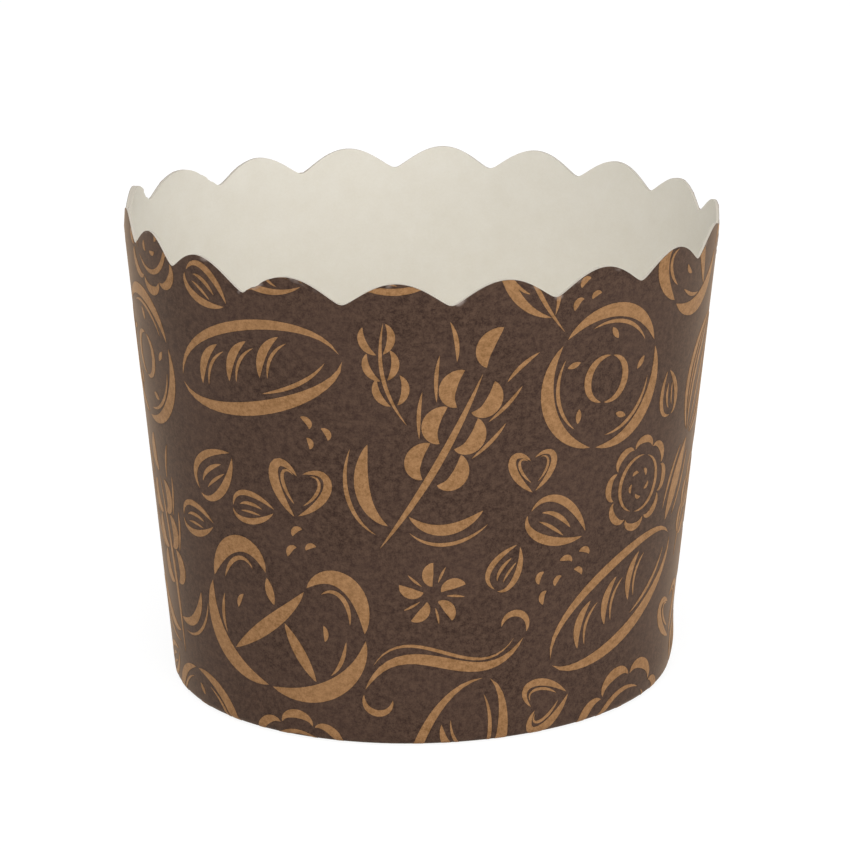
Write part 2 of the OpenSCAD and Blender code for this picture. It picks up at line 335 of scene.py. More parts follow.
def roll_paper():
    """Rolls flat paper up into the cup: turn runs along the sheet from its inner edge, and up runs from
    the hem round the corner and up the wall."""
    tree, size = new_tree(
        "Roll paper",
        {
            "Turn": 0.0,
            "Up": 0.0,
            "Outside": 0.0,
            "Foot radius": FOOT_D / 2 * MM,
            "Wall slope": SLOPE,
            "Corner radius": FOOT_R * MM,
            "Corner top": CORNER_TOP * MM,
            "Corner turn": CORNER_TURN,
            "Tuck": (WALL_T + GLUE_T) * MM,
            "Lap turn": LAP_TURN,
            "Run turn": RUN_TURN,
            "Seam direction": SEAM,
            "Crimp height": CRIMP_H * MM,
            "Crimp start": CRIMP_INSET * MM,
            "Crimp end": HEM_W * MM,
            "Crimp folds": float(CRIMPS),
            "Lean": LEAN,
            "Egg": EGG * MM,
            "Squared": SQUARED * MM,
            "Drawn in": DRAWN_IN * MM,
            "Bulge": BULGE * MM,
            "Bulge height": BULGE_UP * MM,
            "Bulge reach": BULGE_REACH * MM,
            "Right reach": RIGHT_REACH,
            "Left in": LEFT_IN * MM,
            "Curl in": CURL_IN * MM,
            "Curl low": CURL_LOW * MM,
            "Curl high": CURL_HIGH * MM,
            "Left reach": LEFT_REACH,
            "Rim height": CUP_H * MM,
        },
        {"Position": "NodeSocketVector"},
    )
    direction = add(tree, MATH, (size["Turn"], size["Seam direction"]), operation="ADD")
    east = add(tree, MATH, (direction,), operation="COSINE")
    north = add(tree, MATH, (direction,), operation="SINE")

    # The paper's way down: wall, then the turned corner, then the hem
    wall_up = add(tree, MATH, (size["Up"], size["Corner top"]), operation="MAXIMUM")
    below = add(tree, MATH, (size["Up"], size["Corner top"]), operation="MINIMUM")
    past = add(tree, MATH, (size["Corner top"], below), operation="SUBTRACT")
    turned = add(tree, MATH, (past, size["Corner radius"]), operation="DIVIDE")
    left = add(tree, MATH, (size["Corner turn"], turned), operation="SUBTRACT")
    bend = add(tree, MATH, (left, 0.0), operation="MAXIMUM")
    corner = add(tree, MATH, (size["Corner turn"], size["Corner radius"]),
                 operation="MULTIPLY")
    over = add(tree, MATH, (past, corner), operation="SUBTRACT")
    hem = add(tree, MATH, (over, 0.0), operation="MAXIMUM")

    # Beside the inner ply the wall lies in by one thickness of paper and glue
    run_end = add(tree, MATH, (size["Lap turn"], size["Run turn"]), operation="ADD")
    lying_in = add(tree, MAP_RANGE,
                   (size["Turn"], size["Lap turn"], run_end, 1.0, 0.0), interpolation_type="SMOOTHSTEP")
    tuck = add(tree, MATH, (lying_in, size["Tuck"]), operation="MULTIPLY")
    wall_share = add(tree, MATH, (bend, size["Corner turn"]), operation="DIVIDE")
    tucked = add(tree, MATH, (tuck, wall_share), operation="MULTIPLY")

    # Radius: the cone, then the corner's arc and the hem
    slant = add(tree, MATH, (size["Wall slope"],), operation="TANGENT")
    cone = add(tree, MATH, (wall_up, slant, size["Foot radius"]),
               operation="MULTIPLY_ADD")
    cosine = add(tree, MATH, (size["Wall slope"],), operation="COSINE")
    inset = add(tree, MATH, (size["Corner radius"], cosine), operation="MULTIPLY")
    arc = add(tree, MATH, (size["Corner radius"], size["Outside"]), operation="ADD")
    sweep = add(tree, MATH, (bend,), operation="SINE")
    true_radius = add(tree, MATH, (arc, sweep, cone), operation="MULTIPLY_ADD")
    for inward in (inset, tucked, hem):
        true_radius = add(tree, MATH, (true_radius, inward), operation="SUBTRACT")

    # On the right the wall is drawn in towards the foot, with a bulge just above it
    hump = bell(tree, wall_up, size["Bulge height"], size["Bulge reach"], 2.0)
    bulge = add(tree, MATH, (hump, size["Bulge"]), operation="MULTIPLY")
    drawn = add(tree, MAP_RANGE,
                (wall_up, size["Corner top"], size["Rim height"], size["Drawn in"], 0.0))
    profile = add(tree, MATH, (bulge, drawn), operation="SUBTRACT")
    on_right = bell(tree, east, 1.0, size["Right reach"], 1.0)
    right = add(tree, MATH, (profile, on_right), operation="MULTIPLY")

    # Low down it is squared: it stands out most half-way between the sides, where cosine times sine,
    # squared, comes to a quarter
    diagonal = add(tree, MATH, (east, north), operation="MULTIPLY")
    fourfold = add(tree, MATH, (diagonal, diagonal), operation="MULTIPLY")
    square = add(tree, MATH, (size["Squared"], 4.0), operation="MULTIPLY")
    low_down = add(tree, MAP_RANGE,
                   (wall_up, size["Corner top"], size["Rim height"], square, 0.0))
    squared_right = add(tree, MATH, (fourfold, low_down, right),
                        operation="MULTIPLY_ADD")

    # The left side stands in, and its rim curls in
    curl = add(tree, MAP_RANGE,
               (wall_up, size["Curl low"], size["Curl high"], size["Left in"], size["Curl in"]),
               interpolation_type="SMOOTHSTEP")
    on_left = bell(tree, east, -1.0, size["Left reach"], 1.0)
    curled = add(tree, MATH, (curl, on_left), operation="MULTIPLY")
    swell = add(tree, MATH, (squared_right, curled), operation="SUBTRACT")

    # All of that fades out round the corner, and the egg form goes on under the cup
    on_wall = add(tree, MATH, (swell, wall_share), operation="MULTIPLY")
    egg = egg_inset(tree, east, north, size["Egg"])
    handled = add(tree, MATH, (on_wall, egg), operation="SUBTRACT")
    radius = add(tree, MATH, (true_radius, handled), operation="ADD")

    # Height: the wall's, then the corner's arc and the crimp folds of the hem
    sine = add(tree, MATH, (size["Wall slope"],), operation="SINE")
    middle = add(tree, MATH, (size["Corner radius"], sine, wall_up),
                 operation="MULTIPLY_ADD")
    level = add(tree, MATH, (bend,), operation="COSINE")
    dip = add(tree, MATH, (arc, level), operation="MULTIPLY")
    face = add(tree, MATH, (middle, dip), operation="SUBTRACT")
    pleats = add(tree, MATH, (size["Turn"], size["Crimp folds"]), operation="MULTIPLY")
    ripple = add(tree, MATH, (pleats,), operation="COSINE")
    lifted = add(tree, MAP_RANGE, (ripple, 1.0, -1.0, 0.0, size["Crimp height"]))
    crimped = add(tree, MAP_RANGE, (hem, size["Crimp start"], size["Crimp end"], 0.0, 1.0),
                  interpolation_type="SMOOTHSTEP")
    height = add(tree, MATH, (lifted, crimped, face), operation="MULTIPLY_ADD")

    add(tree, "NodeGroupOutput", (round_place(tree, radius, east, north, height, size["Lean"]),))
    return tree


def sheet_tree(rim, roll):
    """The wrapped sheet: a grid from the inner free edge round to the outer one, and from the hem up to
    the scalloped rim. It leaves out the rows and turns that a layer of print doesn't cover."""
    tree, size = new_tree(
        "Wrapped sheet",
        {
            "Columns": SHEET_COLS,
            "Rows": ROWS,
            "Outside": 0.0,
            "Whole turn": TURN + LAP_TURN,
            "Seam direction": SEAM,
            "Hem share": HEM_ROWS / ROWS,
            "Corner share": (HEM_ROWS + CORNER_ROWS) / ROWS,
            "Trim share": (HEM_ROWS + CORNER_ROWS + 1) / ROWS,
            "Hem width": HEM_W * MM,
            "Corner length": CORNER_LEN * MM,
            "Corner top": CORNER_TOP * MM,
            "Lap turn": LAP_TURN,
            "Cut turn": CUT_TURN,
            "First turn": 0.0,
            "First share": 0.0,
            "Drawn radius": DRAWN_R * MM,
            "Weld": 0.0005 * MM,
            "Material": "NodeSocketMaterial",
        },
        {"Geometry": "NodeSocketGeometry"},
    )
    grid, along = unit_grid(tree, size)
    turn = add(tree, MATH, (along["X"], size["Whole turn"]), operation="MULTIPLY")
    direction = add(tree, MATH, (turn, size["Seam direction"]), operation="ADD")
    rim_up = add(tree, "GeometryNodeGroup", {"Direction": direction}, node_tree=rim)

    # How far up the paper each row lies: over the hem, then the corner, then the wall
    cut_end = add(tree, MATH, (size["Lap turn"], size["Cut turn"]), operation="ADD")
    hem_w = add(tree, MAP_RANGE,
                (turn, size["Lap turn"], cut_end, 0.0, size["Hem width"]))
    hem_up = add(tree, MAP_RANGE, (along["Y"], 0.0, size["Hem share"], 0.0, hem_w))
    corner_up = add(tree, MAP_RANGE,
                    (along["Y"], size["Hem share"], size["Corner share"], 0.0, size["Corner length"]))
    wall_h = add(tree, MATH, (rim_up, size["Corner top"]), operation="SUBTRACT")
    wall_up = add(tree, MAP_RANGE, (along["Y"], size["Corner share"], 1.0, 0.0, wall_h))
    bottom = add(tree, MATH, (size["Corner top"], size["Corner length"]),
                 operation="SUBTRACT")
    up = add(tree, MATH, (bottom, hem_w), operation="SUBTRACT")
    for stretch in (hem_up, corner_up, wall_up):
        up = add(tree, MATH, (up, stretch), operation="ADD")
    cup = rolled_up(tree, size, grid, turn, up, rim_up, roll)

    # The inner ply is trimmed above the corner, and print starts further round and up
    inner = add(tree, "FunctionNodeCompare", (turn, size["Lap turn"]), operation="LESS_THAN")
    low = add(tree, "FunctionNodeCompare", (along["Y"], size["Trim share"]), operation="LESS_THAN")
    trimmed = add(tree, "FunctionNodeBooleanMath", (inner, low), operation="AND")
    before = add(tree, "FunctionNodeCompare", (turn, size["First turn"]), operation="LESS_THAN")
    under = add(tree, "FunctionNodeCompare", (along["Y"], size["First share"]), operation="LESS_THAN")
    bare = add(tree, "FunctionNodeBooleanMath", (before, under), operation="OR")
    left_out = add(tree, "FunctionNodeBooleanMath", (trimmed, bare), operation="OR")
    kept = add(tree, "GeometryNodeDeleteGeometry", {"Geometry": cup, "Selection": left_out},
               domain="FACE")
    return finished(tree, size, kept)


def print_tree(rim, roll):
    """Print on the sheet: flat curves become brush strokes that belly out and run to a point at both
    ends, are cut off by the rim and the foot as the die cuts them, and are rolled up with the paper."""
    tree, size = new_tree(
        "Printed strokes",
        {
            "Geometry": "NodeSocketGeometry",
            "Points": STROKE_POINTS,
            "Outside": 0.0,
            "Taper": 0.75,
            "Drawn radius": DRAWN_R * MM,
            "Lowest": (CORNER_TOP - CORNER_LEN / 2) * MM,
            "Fine below": (CORNER_TOP + 0.8) * MM,
            "Fine levels": 2,
            "Seam direction": SEAM,
            "Lap turn": LAP_TURN,
            "Whole turn": TURN + LAP_TURN,
            "Weld": 0.002 * MM,
            "Material": "NodeSocketMaterial",
        },
        {"Geometry": "NodeSocketGeometry"},
    )
    divided = add(tree, "GeometryNodeResampleCurve",
                  {"Curve": size["Geometry"], "Count": size["Points"]}, mode="COUNT")
    level = add(tree, "GeometryNodeSetCurveNormal", {"Curve": divided}, mode="Z_UP")
    factor = add(tree, "GeometryNodeSplineParameter").outputs["Factor"]
    half_turn = add(tree, MATH, (factor, math.pi), operation="MULTIPLY")
    bow = add(tree, MATH, (half_turn,), operation="SINE")
    open_bow = add(tree, MATH, (bow, 0.0), operation="MAXIMUM")
    belly = add(tree, MATH, (open_bow, size["Taper"]), operation="POWER")
    width = add(tree, MATH, (belly, add(tree, "GeometryNodeInputRadius")),
                operation="MULTIPLY")
    line = add(tree, "GeometryNodeCurvePrimitiveLine",
               {"Start": (-0.5, 0, 0), "End": (0.5, 0, 0)})
    profile = add(tree, "GeometryNodeResampleCurve", {"Curve": line, "Count": 3}, mode="COUNT")
    ribbon = add(tree, "GeometryNodeCurveToMesh",
                 {"Curve": level, "Profile Curve": profile, "Scale": width})

    # Finer faces where the strokes bend round the corner, so that the ground stays below them
    place = add(tree, "ShaderNodeSeparateXYZ", (add(tree, "GeometryNodeInputPosition"),)).outputs
    at_foot = add(tree, "FunctionNodeCompare", (place["Y"], size["Fine below"]),
                  operation="LESS_THAN")
    parted = add(tree, "GeometryNodeSeparateGeometry", {"Geometry": ribbon, "Selection": at_foot},
                 domain="FACE").outputs
    fine = add(tree, "GeometryNodeSubdivideMesh",
               {"Mesh": parted["Selection"], "Level": size["Fine levels"]})
    whole = add(tree, "GeometryNodeJoinGeometry", (fine,))
    tree.links.new(parted["Inverted"], whole.inputs[0])

    # The die cuts the print off at the rim, and the corner ends it at the foot
    direction = add(tree, MATH, (place["X"], size["Drawn radius"]), operation="DIVIDE")
    rim_up = add(tree, "GeometryNodeGroup", {"Direction": direction}, node_tree=rim)
    above = add(tree, "FunctionNodeCompare", (place["Y"], rim_up), operation="GREATER_THAN")
    below = add(tree, "FunctionNodeCompare", (place["Y"], size["Lowest"]), operation="LESS_THAN")
    waste = add(tree, "FunctionNodeBooleanMath", (above, below), operation="OR")
    sorted_out = add(tree, "GeometryNodeStoreNamedAttribute",
                     {"Geometry": whole, "Name": "waste", "Value": waste}, data_type="BOOLEAN")
    lower_cut = add(tree, MATH, (place["Y"], size["Lowest"]), operation="MAXIMUM")
    up = add(tree, MATH, (lower_cut, rim_up), operation="MINIMUM")

    # The overlap's outer ply carries the print, so the turn is counted from the inner ply's edge on
    from_seam = add(tree, MATH, (direction, size["Seam direction"]), operation="SUBTRACT")
    turn = add(tree, MATH, (from_seam, size["Whole turn"], size["Lap turn"]),
               operation="WRAP")
    cup = rolled_up(tree, size, sorted_out, turn, up, rim_up, roll)
    cut = add(tree, "GeometryNodeInputNamedAttribute", ("waste",), data_type="BOOLEAN")
    kept = add(tree, "GeometryNodeDeleteGeometry", {"Geometry": cup, "Selection": cut}, domain="FACE")
    return finished(tree, size, kept)


def disc_tree():
    """The base disc, pressed down on the hem so that the crimp folds below show through a little."""
    tree, size = new_tree(
        "Pressed disc",
        {
            "Columns": DISC_COLS,
            "Rows": DISC_ROWS,
            "Radius": (DISC_HIGH.x - DISC_LOW.x) / 2,
            "Top": DISC_HIGH.z,
            "Crimp folds": float(CRIMPS),
            "Press height": PRESS_H * MM,
            "Hem edge": (FOOT_C - HEM_W) * MM,
            "Hem middle": (FOOT_C - HEM_W / 2) * MM,
            "Hem border": (FOOT_C - CRIMP_INSET) * MM,
            "Egg": EGG * MM,
            "Weld": 0.001 * MM,
            "Material": "NodeSocketMaterial",
        },
        {"Geometry": "NodeSocketGeometry"},
    )
    grid, along = unit_grid(tree, size)
    direction = add(tree, MATH, (along["X"], -TURN), operation="MULTIPLY")
    radius = add(tree, MATH, (along["Y"], size["Radius"]), operation="MULTIPLY")
    rise = add(tree, MAP_RANGE, (radius, size["Hem edge"], size["Hem middle"], 0.0, 1.0),
               interpolation_type="SMOOTHSTEP")
    fall = add(tree, MAP_RANGE, (radius, size["Hem middle"], size["Hem border"], 1.0, 0.0),
               interpolation_type="SMOOTHSTEP")
    ring = add(tree, MATH, (rise, fall), operation="MULTIPLY")
    pleats = add(tree, MATH, (direction, size["Crimp folds"]), operation="MULTIPLY")
    ripple = add(tree, MATH, (pleats,), operation="COSINE")
    pressed = add(tree, MAP_RANGE, (ripple, -1.0, 1.0, 0.0, size["Press height"]))
    height = add(tree, MATH, (ring, pressed, size["Top"]), operation="MULTIPLY_ADD")
    east = add(tree, MATH, (direction,), operation="COSINE")
    north = add(tree, MATH, (direction,), operation="SINE")
    egg = egg_inset(tree, east, north, size["Egg"])
    less = add(tree, MATH, (egg, along["Y"]), operation="MULTIPLY")
    reach = add(tree, MATH, (radius, less), operation="SUBTRACT")
    place = round_place(tree, reach, east, north, height, 0.0)
    disc = add(tree, "GeometryNodeSetPosition", {"Geometry": grid, "Position": place})
    return finished(tree, size, noted(tree, disc, place, size["Radius"]))


def made_piece(name, tree, material, thickness, data=None, **inputs):
    """A plain mesh from a tree, given its thickness: inwards where it is negative, outwards else."""
    source = bpy.data.objects.new(name, data or bpy.data.meshes.new(name))
    bpy.context.scene.collection.objects.link(source)
    shape = source.modifiers.new("Shape", "NODES")
    shape.node_group = tree
    named = {item.name: item.identifier for item in tree.interface.items_tree
             if item.in_out == "INPUT"}
    shape[named["Material"]] = material
    for title, value in inputs.items():
        shape[named[title.replace("_", " ")]] = value
    body = source.modifiers.new("Thickness", "SOLIDIFY")
    body.thickness = abs(thickness)
    body.offset = math.copysign(1, thickness)
    # Sheets keep an even thickness, and pointed strokes do without
    body.use_even_offset = data is None
    graph = bpy.context.evaluated_depsgraph_get()
    mesh = bpy.data.meshes.new_from_object(source.evaluated_get(graph), depsgraph=graph)
    bpy.data.objects.remove(source)
    mesh.name = name
    mesh.polygons.foreach_set("use_smooth", [True] * len(mesh.polygons))
    mesh.set_sharp_from_angle(angle=math.radians(SHARP_DEG))
    piece = bpy.data.objects.new(name, mesh)
    bpy.context.scene.collection.objects.link(piece)
    return piece


# The print: each stroke is the four points of a Bezier curve in millimetres from the motif's middle,
# and the width of its belly

def turned(stroke, degrees):
    """The stroke turned about the motif's middle."""
    cosine, sine = math.cos(math.radians(degrees)), math.sin(math.radians(degrees))
    return [(x * cosine - y * sine, x * sine + y * cosine) for x, y in stroke[:4]] + stroke[4:]


def mirrored(stroke):
    """The stroke seen from the other side."""
    return [(-x, y) for x, y in stroke[:4]] + stroke[4:]


def ring_stroke(r, first, last, width):
    """Part of a ring between two angles in degrees."""
    half = math.radians(last - first) / 2
    pull = r * 4 / 3 * math.tan(half / 2)
    ends = (math.cos(half) * r, math.sin(half) * r)
    handle = (ends[0] + pull * math.sin(half), ends[1] - pull * math.cos(half))
    arc = [(ends[0], -ends[1]), (handle[0], -handle[1]), handle, ends, width]
    return turned(arc, (first + last) / 2)


def wheat():
    """An ear with its awns, stalk and two leaves, each with a fine line beside it."""
    awns = [[(side * 2.9, y), (side * 3.6, y + 1.3), (side * 4.3, y + 2.7), (side * 4.7, y + 4.7), 0.4]
            for y in (0.5, 4.7) for side in (-1, 1)]
    grains = [[(side * 0.8, y), (side * 2.7, y + 0.2), (side * 3.1, y + 2.4), (side * 1.7, y + 3.9), 1.7]
              for y in (-3.4, 0.8, 5) for side in (-1, 1)]
    return grains + awns + [
        [(-1.6, -12), (-0.4, -6), (0.5, 0), (0.2, 9.2), 0.75],
        [(0.3, 9.9), (-1.2, 11), (-1, 12.9), (0.2, 14.4), 1.7],
        [(3, 9.2), (3.3, 10.6), (4, 12), (5, 13.2), 0.45],
        [(-2.8, 9.4), (-3.3, 10.8), (-4, 12), (-5.2, 13), 0.45],
        [(-1.9, -9.4), (-4.6, -9.2), (-7, -6.6), (-7.4, -2.2), 1.5],
        [(-0.4, -7.6), (2.4, -8.8), (5, -7.4), (6.4, -4.2), 1.2],
        [(-2.6, -10.8), (-5.7, -10.5), (-8.4, -7.5), (-8.8, -3.4), 0.45],
        [(0.4, -9.2), (2.9, -10.2), (6, -8.8), (7.5, -5.4), 0.4],
    ]


def pretzel():
    """A twisted pretzel with fine lines along its inside."""
    sides = [
        [(0.25, -6.6), (5.2, -6.9), (9, -3.2), (8.6, 1.2), 1.9],
        [(8.4, 1.9), (8, 6.8), (4, 8.4), (2.2, 4.9), 1.7],
        [(5.9, -3.3), (6.6, -2.4), (6.9, -1.2), (6.8, 0.6), 0.4],
        [(6.9, 2.4), (6.6, 5), (4.8, 6.1), (3.7, 4.7), 0.45],
        [(4.4, 1.6), (4.8, 1.1), (4.9, 0.6), (4.8, 0), 0.5],
    ]
    return sides + [mirrored(stroke) for stroke in sides] + [
        [(2, 4.4), (0.9, 1.8), (-1.9, -1.3), (-4.6, -4.4), 1.5],
        [(0.55, 0.5), (1.6, -0.9), (3.1, -2.7), (4.6, -4.4), 1.2],
        [(-2, 4.4), (-1.7, 3.5), (-1.3, 2.7), (-0.8, 1.95), 0.9],
    ]


def loaf():
    """A long loaf with three cuts, each with a fine line beside it."""
    cuts = [[(x - 1.9, -1.3), (x - 1.4, 0.9), (x - 0.2, 2.1), (x + 1.6, 2.6), 0.95]
            for x in (-5.2, -1.2, 2.8)]
    creases = [[(x - 1, -1.5), (x - 0.5, 0.4), (x + 0.6, 1.4), (x + 2.3, 1.8), 0.35]
               for x in (-5.2, -1.2, 2.8)]
    return cuts + creases + [
        [(-10.4, -1), (-8.6, -5.6), (8.6, -5.6), (10.4, -1), 1.5],
        [(10.3, -0.2), (8.4, 5.8), (-8.4, 5.8), (-10.3, -0.2), 1.1],
        [(0.6, -3), (4.2, -3), (6.8, -2.3), (8.6, -0.8), 0.45],
    ]


def ring_roll():
    """A ring-shaped roll with seeds."""
    seed = [(4.1, -0.5), (4.4, -0.2), (4.9, 0.2), (5.2, 0.5), 0.6]
    return ([ring_stroke(7, a + 3, a + 117, 1.4) for a in (20, 140, 260)]
            + [ring_stroke(5.85, a + 12, a + 92, 0.4) for a in (20, 140, 260)]
            + [ring_stroke(2.4, a + 4, a + 176, 0.8) for a in (80, 260)]
            + [turned(seed, a) for a in range(10, 299, 72)])


def whisk():
    """A balloon whisk."""
    wires = [[(-2.2, side * near), (1, side * far), (7.2, side * far), (10.2, side * near), width]
             for side in (-1, 1) for far, near, width in ((5.6, 0.9, 0.85), (2.9, 0.45, 0.6))]
    fine = [[(-0.6, side * 1.8), (1.6, side * 3.7), (6.4, side * 4), (8.9, side * 1.9), 0.35]
            for side in (-1, 1)]
    grip = [[(-10.6, side * 1.5), (-8.4, side * 2), (-6, side * 2), (-3.9, side * 1.4), 0.4]
            for side in (-1, 1)]
    return wires + fine + grip + [
        [(-11.5, 0), (-8.5, 0.15), (-5.5, 0.15), (-2.9, 0), 1.9],
        [(-1.9, 0), (2, 0.1), (6.4, 0.1), (10, 0), 0.5],
    ]


def scroll():
    """A flourish with a curl at each end."""
    return [
        [(-11, -3.4), (-5, 7), (3, -7.4), (9.6, 1.4), 1.5],
        [(10, 2.1), (11.2, 4.9), (7.4, 6.2), (6.7, 3.4), 0.9],
        [(-11.2, -4.1), (-11.8, -7), (-7.9, -7.8), (-7.6, -5), 0.9],
        [(-9.8, -0.2), (-4.6, 7.6), (3, -5.4), (8.3, 1.6), 0.45],
    ]


def almond():
    """An almond with its crease."""
    return [
        [(-3.2, -0.2), (-3, 2.9), (1, 2.6), (3.9, 0.3), 0.85],
        [(3.8, -0.3), (1, -2.8), (-3, -2.7), (-3.3, -0.7), 0.95],
        [(-2, 0.1), (-1.2, 0.7), (0.3, 0.7), (1.9, 0), 0.5],
        [(-1.8, -0.8), (-0.9, -0.6), (0.6, -0.8), (1.6, -1), 0.35],
    ]


def heart():
    """An open heart."""
    return [
        [(0.15, -3), (-4.6, 0.6), (-3.2, 4.2), (-0.3, 1.5), 1.1],
        [(0.55, -2.8), (4.6, 0.4), (3.4, 4), (0.3, 1.9), 0.9],
        [(-0.1, -1.6), (-2.6, 0.5), (-2.2, 2.6), (-0.7, 1.5), 0.4],
        [(0.9, -1.5), (2.9, 0.4), (2.4, 2.4), (1.1, 1.9), 0.35],
    ]


def blossom():
    """A flower of five petals."""
    petal = [(1.3, 0), (2.4, 1), (3.9, 0.8), (4.9, -0.1), 1.6]
    stamen = [(2, 0), (2.8, 0.1), (3.7, 0.1), (4.6, 0), 0.35]
    return ([turned(petal, a) for a in range(18, 307, 72)]
            + [turned(stamen, a) for a in range(66, 355, 72)])


def sprig():
    """A curved twig with leaves."""
    blade = [(0.4, 0.45), (1.3, 1.9), (3.1, 2.4), (4.4, 1.5), 1]
    blades = [[(x + px, y + side * py) for px, py in blade[:4]] + blade[4:]
              for x, y in ((-4.4, -0.45), (-0.8, 0.2), (2.8, 0.07)) for side in (1, -1)]
    return blades + [[(-7, -1.6), (-2.4, 0.7), (2, 0.9), (7.4, -1.2), 0.5]]


def seeds():
    """Three loose seeds."""
    return [
        [(-2.2, -1.2), (-1.5, -0.2), (-0.8, -0.1), (-0.2, -0.6), 0.9],
        [(0.2, 1.1), (0.7, 1.9), (1.5, 2), (2.1, 1.4), 0.9],
        [(0.9, -1.5), (1.5, -1), (2.2, -1.1), (2.6, -1.7), 0.8],
    ]


def leaf():
    """A broad leaf with its veins."""
    return [
        [(-6.2, -0.6), (-3.4, 3.6), (2.4, 3.9), (6.4, 0.5), 1.2],
        [(6.3, 0), (3, -3.9), (-3.2, -3.4), (-6.1, -1.1), 0.9],
        [(-8.6, -1.6), (-4, 0.1), (0.5, 0.5), (4.6, 0.2), 0.5],
        [(-2.4, 0.95), (-1.8, 1.6), (-1, 2.1), (0.1, 2.2), 0.35],
        [(0.6, 1), (1.3, 1.6), (2.1, 1.9), (3.1, 1.9), 0.35],
        [(-2.2, -0.6), (-1.6, -1.4), (-0.8, -1.9), (0.3, -2.1), 0.35],
        [(0.8, -0.3), (1.5, -1), (2.3, -1.4), (3.3, -1.4), 0.35],
    ]


def biscuit():
    """A round biscuit with a wavy edge."""
    wave = [(5.6, -2.15), (7.5, -1.9), (7.5, 1.9), (5.6, 2.15), 1.2]
    crumb = [(1.7, -0.6), (2.2, -0.3), (2.4, 0.2), (2.2, 0.7), 0.6]
    return ([turned(wave, a) for a in range(0, 316, 45)]
            + [ring_stroke(4.5, a + 6, a + 174, 0.7) for a in (35, 215)]
            + [turned(crumb, a) for a in range(10, 299, 72)])


# Where the motifs lie: direction round the cup, height as a share of the field, turn and size. Those
# with a share near 0 or 1 are cut by the foot or the rim.
LAYOUT = [
    (ring_roll, 200, 0.79, 0, 1.1), (wheat, 203, 0.31, 12, 1), (loaf, 236, 0.85, 14, 1.1),
    (almond, 224, 0.57, 40, 1.1), (heart, 245, 0.57, -12, 1.1), (pretzel, 239, 0.23, -12, 1.2),
    (wheat, 274, 0.67, -24, 1.1), (scroll, 276, 0.17, 4, 0.9), (blossom, 272, 0.33, 0, 0.8),
    (ring_roll, 308, 0.80, 0, 1.15), (almond, 298, 0.48, -30, 1.15), (loaf, 317, 0.25, 28, 1.1),
    (whisk, 343, 0.63, 64, 1.15), (heart, 342, 0.13, 10, 1.1), (blossom, 4, 0.87, 0, 0.9),
    (pretzel, 11, 0.31, 10, 1.2), (almond, 17, 0.66, 60, 1.1), (wheat, 43, 0.62, 18, 1.1),
    (almond, 41, 0.10, 20, 1.1), (loaf, 70, 0.86, -16, 1.05), (heart, 68, 0.50, 14, 1.1),
    (ring_roll, 74, 0.22, 0, 1.15), (pretzel, 109, 0.67, -8, 1.2), (scroll, 113, 0.19, -10, 0.95),
    (whisk, 143, 0.60, 118, 1.15), (almond, 131, 0.40, 80, 1.1), (blossom, 148, 0.12, 0, 0.9),
    (heart, 169, 0.88, 6, 1.05), (almond, 163, 0.64, -20, 1.1), (loaf, 168, 0.29, 62, 1),
    (leaf, 0, 0.6, 30, 0.85), (leaf, 20, 0.06, 0, 0.85), (biscuit, 21, 1.08, 110, 1),
    (seeds, 23, 0.82, 150, 0.95), (sprig, 28, -0.12, 150, 1.1), (almond, 30, 0.59, -30, 0.8),
    (leaf, 43, 0.24, 180, 0.75), (seeds, 43, 0.98, 150, 0.95), (sprig, 50, 1.11, 0, 0.9),
    (almond, 57, 0.36, 60, 0.8), (almond, 62, 0.69, -70, 1), (loaf, 67, -0.07, 0, 1),
    (leaf, 83, 0.58, -60, 0.9), (biscuit, 90, 1.11, -20, 1), (almond, 90, 0.02, -70, 0.8),
    (seeds, 93, 0.44, 30, 0.8), (heart, 105, 0.08, -30, 1), (leaf, 110, 0.4, 0, 0.9),
    (pretzel, 111, -0.11, 20, 0.9), (sprig, 112, 0.91, 150, 0.85), (loaf, 120, 1.07, -40, 1),
    (seeds, 121, 0.29, 60, 0.95), (seeds, 134, 0.13, -30, 0.95), (biscuit, 141, -0.1, -30, 0.9),
    (almond, 141, 0.93, -70, 0.8), (heart, 145, 0.31, -30, 1), (ring_roll, 152, 1.11, -20, 0.9),
    (leaf, 157, 0.82, -60, 0.75), (almond, 162, 0.49, 60, 0.85), (leaf, 168, -0.07, 20, 0.9),
    (almond, 168, 1.01, -30, 0.8), (seeds, 169, 0.74, -30, 0.95), (seeds, 170, 0.05, 0, 0.8),
    (almond, 194, 0.02, 30, 0.8), (biscuit, 208, 1.09, 0, 0.9), (ring_roll, 212, -0.09, 75, 1),
    (almond, 217, 0.44, 0, 0.85), (almond, 226, 1.02, -30, 0.95), (almond, 234, 0.51, 0, 0.8),
    (leaf, 239, 1.09, -20, 0.9), (biscuit, 242, -0.11, 0, 0.9), (seeds, 244, 0.44, 30, 0.8),
    (seeds, 249, 0.72, -70, 0.8), (sprig, 263, 0.85, 100, 0.85), (leaf, 265, 1.1, 0, 0.9),
    (loaf, 277, -0.1, 75, 1.1), (almond, 287, 0.38, 60, 0.8), (leaf, 290, 1.08, 110, 1),
    (heart, 292, 0.61, 0, 0.85), (seeds, 296, 0.32, 60, 0.8), (heart, 298, 0.03, 100, 1),
    (seeds, 301, 1.01, 30, 0.8), (seeds, 303, 0.38, -30, 0.8), (biscuit, 320, 0.52, 40, 0.75),
    (biscuit, 322, -0.09, 20, 1.1), (almond, 328, 0.71, 100, 0.8), (pretzel, 337, 1.08, 60, 1.1),
    (sprig, 345, 0.39, 60, 0.85), (almond, 350, 0.04, 60, 0.85), (leaf, 359, -0.09, 75, 1),
    (almond, 359, 1.02, 30, 0.95),
]


